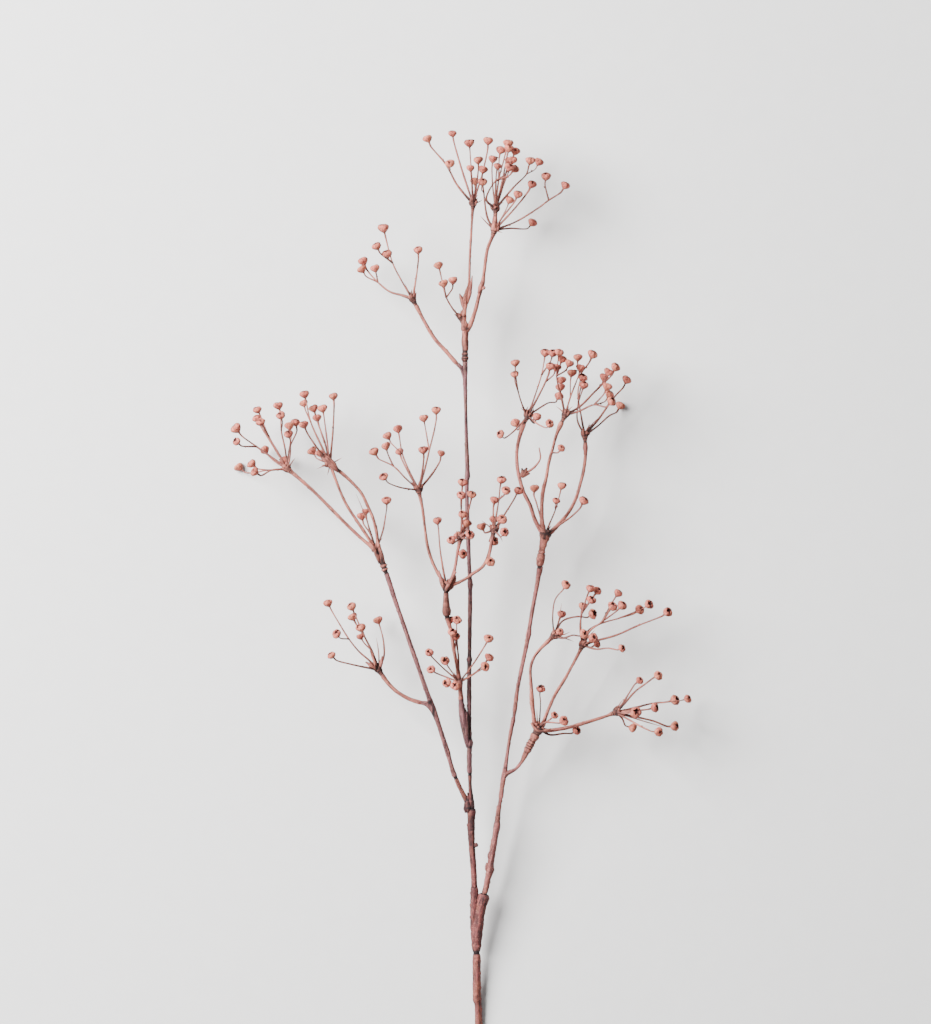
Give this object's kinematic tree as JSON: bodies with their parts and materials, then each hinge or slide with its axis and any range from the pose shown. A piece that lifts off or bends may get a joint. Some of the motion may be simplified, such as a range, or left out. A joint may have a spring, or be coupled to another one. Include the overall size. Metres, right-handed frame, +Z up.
{
  "type": "talinum stem",
  "caption": "Dried dusty pink talinum stem that forks into long branches with heads of small cup-shaped seed pods, lying on a surface.",
  "frame": {"origin": "on the surface that the stem lies on, under the middle of its plan", "axes": "+Y from the cut end to the tips, +Z up from the surface, +X to the right when seen from above with the tips away"},
  "size_m": [0.369, 0.755, 0.0939],
  "materials": {
    "stem": "dyed dusty mauve, matt and lightly ribbed, darker at the nodes",
    "head": "dyed dusty pink, matt, darker in the dimples of the pods"
  },
  "bodies": {
    "root": {"stem_base": "stem", "fork_sleeve": "stem", "stem_middle": "stem", "stem_centre": "stem", "branch_left": "stem", "branch_right": "stem", "branch_centre": "head", "head_top": "head", "head_top_left": "head", "head_left": "head", "head_low_left": "head", "head_centre": "head", "head_right_top": "head", "head_right_low": "head"}
  },
  "joints": []
}
